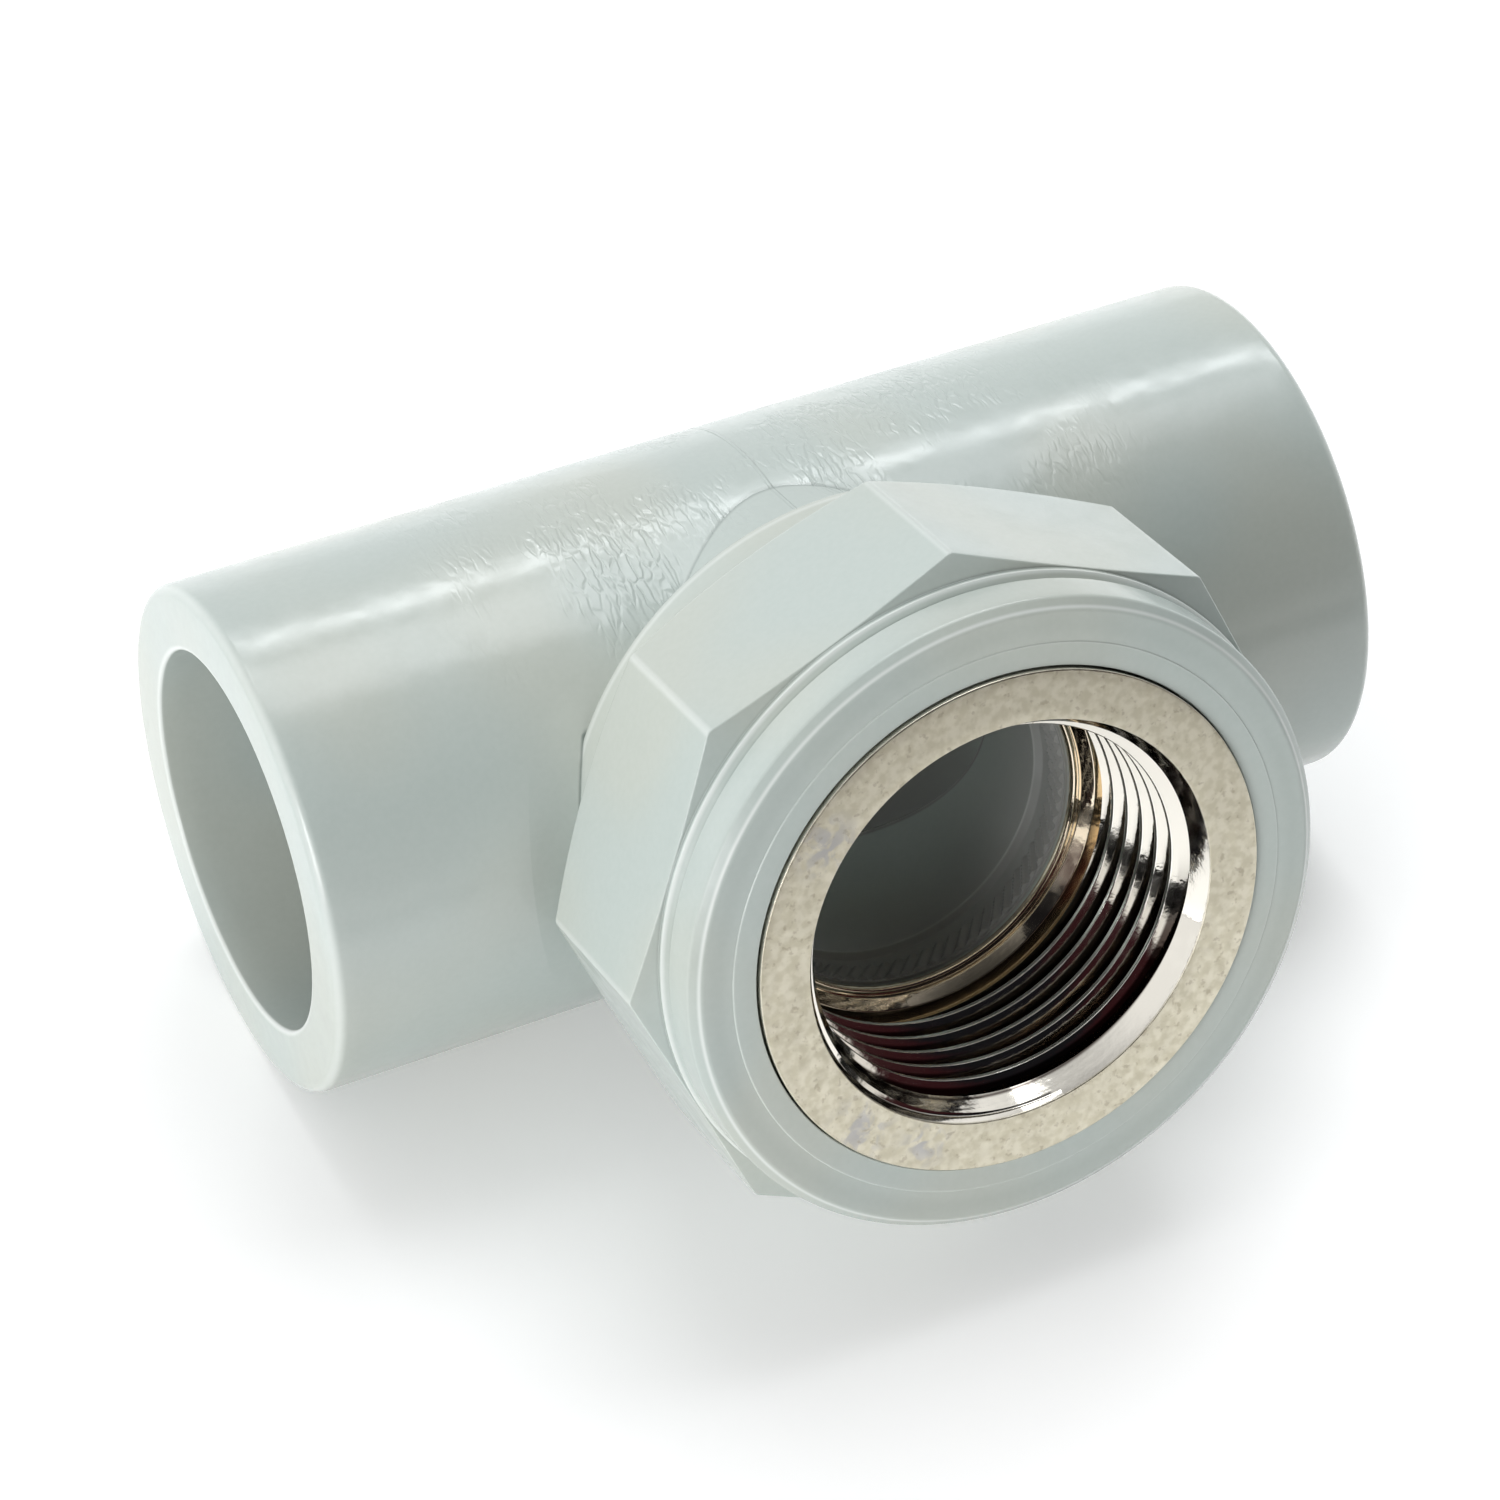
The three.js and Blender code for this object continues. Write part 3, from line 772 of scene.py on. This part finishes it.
# The photograph's view: distances in metres, lens in millimetres.
CAMERA_AIM = Vector((-0.00532, 0.00169, 0.02096))
CAMERA_AZIMUTH = math.radians(-28.375)
CAMERA_ELEVATION = math.radians(45.12)
CAMERA_DISTANCE = 0.34135
CAMERA_ROLL = math.radians(-3.23)
CAMERA_LENS = 131.61


def direction(azimuth, elevation):
    """Unit vector from the object towards that azimuth and elevation. Azimuth 0 is towards -Y."""
    return Vector((math.sin(azimuth) * math.cos(elevation),
                   -math.cos(azimuth) * math.cos(elevation), math.sin(elevation)))


def make_camera():
    """Looks at the fitting from where the photograph was taken."""
    camera = bpy.data.objects.new("camera", bpy.data.cameras.new("camera"))
    bpy.context.scene.collection.objects.link(camera)
    camera.data.lens = CAMERA_LENS
    camera.data.clip_start = 0.01
    back = direction(CAMERA_AZIMUTH, CAMERA_ELEVATION)
    camera.location = CAMERA_AIM + back * CAMERA_DISTANCE
    camera.rotation_mode = "QUATERNION"
    level = (-back).to_track_quat("-Z", "Y")
    camera.rotation_quaternion = level @ Matrix.Rotation(-CAMERA_ROLL, 3, "Z").to_quaternion()
    bpy.context.scene.camera = camera


def area_light(name, azimuth, elevation, distance, width, height, power, colour=(1, 1, 1)):
    """A rectangular light that faces the fitting. Angles are in degrees and lengths in metres."""
    light = bpy.data.lights.new(name, "AREA")
    light.shape = "RECTANGLE"
    light.size = width
    light.size_y = height
    light.energy = power
    light.color = colour
    lamp = bpy.data.objects.new(name, light)
    bpy.context.scene.collection.objects.link(lamp)
    away = direction(math.radians(azimuth), math.radians(elevation))
    lamp.location = away * distance
    lamp.rotation_mode = "QUATERNION"
    lamp.rotation_quaternion = away.to_track_quat("Z", "Y")


# The dark side of the room: its azimuth and elevation, the cosines where it starts and is darkest, and
# how much light is left there.
DARK_SIDE = (5, 45)
DARK_REACH = (0.45, 0.95)
DARK_STRENGTH = 0.04

# The reflection card: a strip of an upright cylinder, with a colour at each share of its height.
CARD_CENTRE = Vector((0, -0.02, 0))
CARD_RADIUS = 0.14
CARD_HEIGHT = 0.20
CARD_AZIMUTHS = (-75, 85)
CARD_COLUMNS = 24
CARD_TONES = [
    (0.0, (0.01, 0.01, 0.01)),
    (0.10, (0.01, 0.01, 0.01)),
    (0.12, (0.9, 0.88, 0.85)),
    (0.18, (0.9, 0.88, 0.85)),
    (0.21, (0.035, 0.01, 0.012)),
    (0.42, (0.03, 0.008, 0.01)),
    (0.5, (0.008, 0.008, 0.01)),
    (1.0, (0.008, 0.008, 0.01)),
]
FLOOR_GLOW = 0.15


def make_world():
    """A bright even room that darkens on one side, high in front of the fitting."""
    world = bpy.data.worlds.new("studio")
    bpy.context.scene.world = world
    world.use_nodes = True
    nodes, links = world.node_tree.nodes, world.node_tree.links
    background = nodes["Background"]
    coordinates = nodes.new("ShaderNodeTexCoord")
    towards = nodes.new("ShaderNodeVectorMath")
    towards.operation = "DOT_PRODUCT"
    towards.inputs[1].default_value = direction(math.radians(DARK_SIDE[0]), math.radians(DARK_SIDE[1]))
    shade = nodes.new("ShaderNodeMapRange")
    shade.interpolation_type = "SMOOTHSTEP"
    shade.inputs["From Min"].default_value = DARK_REACH[0]
    shade.inputs["From Max"].default_value = DARK_REACH[1]
    shade.inputs["To Min"].default_value = 1.0
    shade.inputs["To Max"].default_value = DARK_STRENGTH
    links.new(coordinates.outputs["Generated"], towards.inputs[0])
    links.new(towards.outputs["Value"], shade.inputs["Value"])
    links.new(shade.outputs["Result"], background.inputs["Strength"])
    background.inputs["Color"].default_value = (1, 1, 1, 1)


def make_reflection_card():
    """A dark curved card with a pale strip, low in front of the mouth. Only reflections see it."""
    angles = np.radians(np.linspace(*CARD_AZIMUTHS, CARD_COLUMNS))
    base = [CARD_CENTRE + direction(angle, 0) * CARD_RADIUS for angle in angles]
    top = [point + Vector((0, 0, CARD_HEIGHT)) for point in base]
    count = len(base)
    faces = [(i, i + 1, count + i + 1, count + i) for i in range(count - 1)]
    mesh = bpy.data.meshes.new("card")
    mesh.from_pydata(base + top, [], faces)
    card = bpy.data.objects.new("card", mesh)
    bpy.context.scene.collection.objects.link(card)
    card.visible_camera = card.visible_diffuse = card.visible_shadow = False
    material = bpy.data.materials.new("card")
    material.use_nodes = True
    nodes, links = material.node_tree.nodes, material.node_tree.links
    nodes.clear()
    height = nodes.new("ShaderNodeSeparateXYZ")
    links.new(nodes.new("ShaderNodeTexCoord").outputs["Object"], height.inputs["Vector"])
    share = nodes.new("ShaderNodeMath")
    share.operation = "DIVIDE"
    links.new(height.outputs["Z"], share.inputs[0])
    share.inputs[1].default_value = CARD_HEIGHT
    tones = nodes.new("ShaderNodeValToRGB")
    ramp = tones.color_ramp
    while len(ramp.elements) < len(CARD_TONES):
        ramp.elements.new(1.0)
    for element, (position, colour) in zip(ramp.elements, CARD_TONES):
        element.position = position
        element.color = (*colour, 1)
    links.new(share.outputs["Value"], tones.inputs["Fac"])
    glow = nodes.new("ShaderNodeEmission")
    links.new(tones.outputs["Color"], glow.inputs["Color"])
    links.new(glow.outputs["Emission"], nodes.new("ShaderNodeOutputMaterial").inputs["Surface"])
    mesh.materials.append(material)


def make_floor():
    """A plain white floor that glows a little."""
    size = 4.0
    mesh = bpy.data.meshes.new("floor")
    mesh.from_pydata([(-size, -size, 0), (size, -size, 0), (size, size, 0), (-size, size, 0)], [],
                     [(0, 1, 2, 3)])
    floor = bpy.data.objects.new("floor", mesh)
    bpy.context.scene.collection.objects.link(floor)
    material, _, shader = new_material("white_floor")
    shader.inputs["Base Color"].default_value = (0.9, 0.9, 0.9, 1)
    shader.inputs["Roughness"].default_value = 0.9
    shader.inputs["Emission Color"].default_value = (1, 1, 1, 1)
    shader.inputs["Emission Strength"].default_value = FLOOR_GLOW
    mesh.materials.append(material)


# ---- scene ---------------------------------------------------------------------------------------

def place(piece, node, material, slot, sharp_angle):
    """Lays a piece on the table, gives it its material, shades edges up to that angle in degrees smooth,
    hides the CAD node that it replaces, and attaches it to the root body. The slot is not used."""
    piece.data.transform(LYING)
    piece.data.materials.clear()
    piece.data.materials.append(material)
    piece.data.shade_smooth()
    piece.data.set_sharp_from_angle(angle=math.radians(sharp_angle))
    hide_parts(node)
    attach(piece, "root")


make_camera()
make_world()
make_floor()
make_reflection_card()
area_light("front_window", azimuth=-60, elevation=15, distance=1.0, width=0.5, height=0.4, power=6.5)
area_light("back_panel", azimuth=150, elevation=47, distance=1.0, width=0.7, height=0.08, power=2.4,
           colour=(0.95, 0.98, 1))
area_light("ceiling", azimuth=160, elevation=70, distance=1.0, width=0.7, height=0.4, power=3.2,
           colour=(0.96, 0.98, 1))

place(make_body(), "tee_body", plastic_material(), "grey_plastic", 14)
place(make_insert(), "threaded_insert", nickel_material(), "nickel_plated_brass", 28)
place(make_seal(), "seal_ring", rubber_material(), "black_rubber", 40)

bpy.context.scene.view_settings.view_transform = "Standard"
